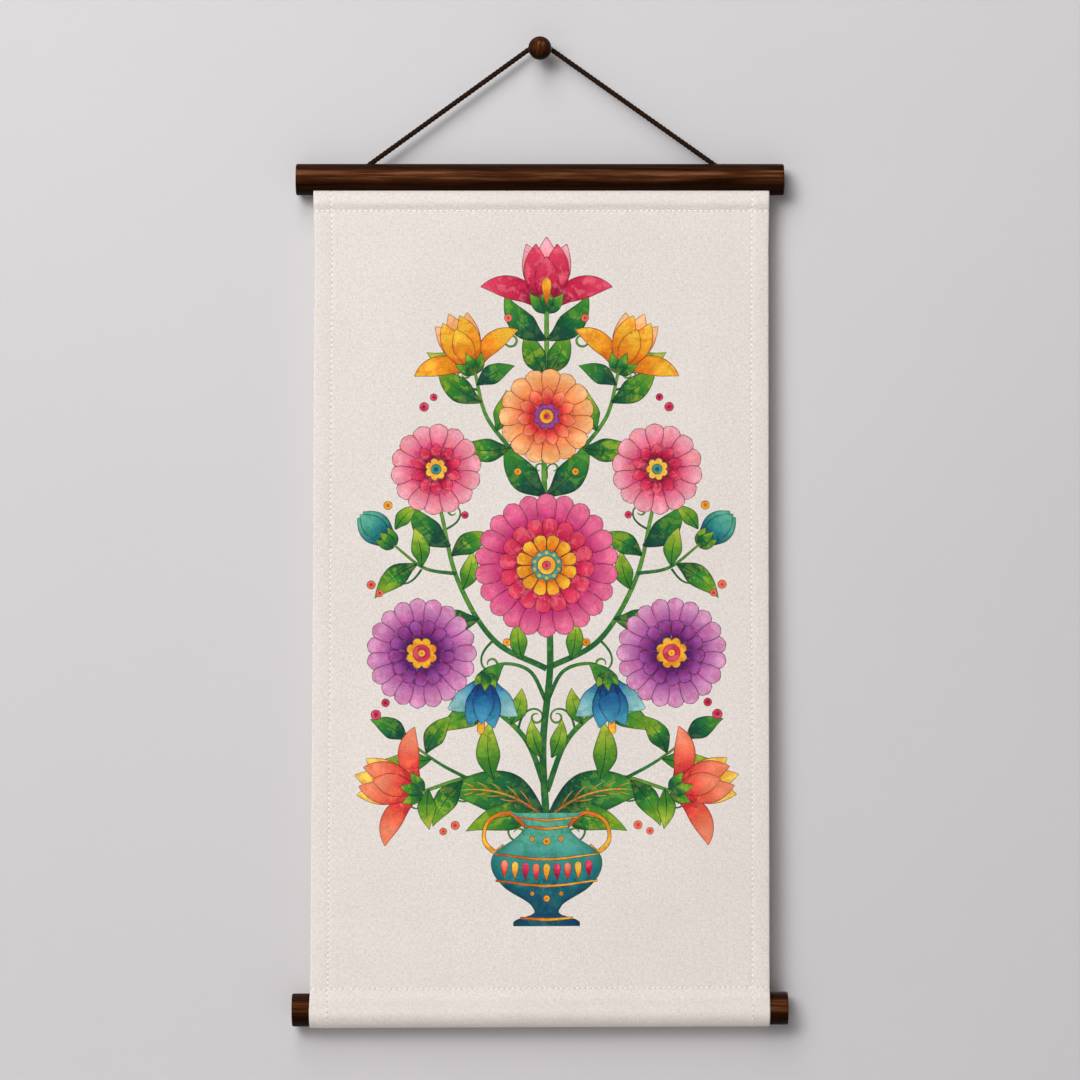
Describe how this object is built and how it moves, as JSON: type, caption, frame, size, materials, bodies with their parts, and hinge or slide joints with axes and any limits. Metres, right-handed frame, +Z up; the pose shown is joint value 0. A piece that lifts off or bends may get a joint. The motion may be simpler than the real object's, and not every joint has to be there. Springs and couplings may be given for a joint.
{
  "type": "textile wall hanging with its two wooden rods, cord and wall knob",
  "caption": "Tall printed canvas wall hanging held by a slotted wooden rod above and a rod in a sewn pocket below, hung by a cord from a turned wall knob.",
  "frame": {"origin": "middle of the wall knob's flat foot, where it meets the wall", "axes": "+Z up along the hanging, +X to its right seen from the front, +Y into the wall, so the print faces -Y"},
  "size_m": [0.4136, 0.0305, 0.8267],
  "materials": {
    "canvas": "matt off-white plain-weave canvas with a water-colour like print",
    "dark_wood": "dark brown stain with a soft satin sheen",
    "brown_cord": "matt dark brown twisted yarn"
  },
  "bodies": {
    "root": {"cloth": "canvas", "top_rod": "dark_wood", "bottom_rod": "dark_wood", "wall_knob": "dark_wood", "hanging_cord": "brown_cord"}
  },
  "joints": []
}
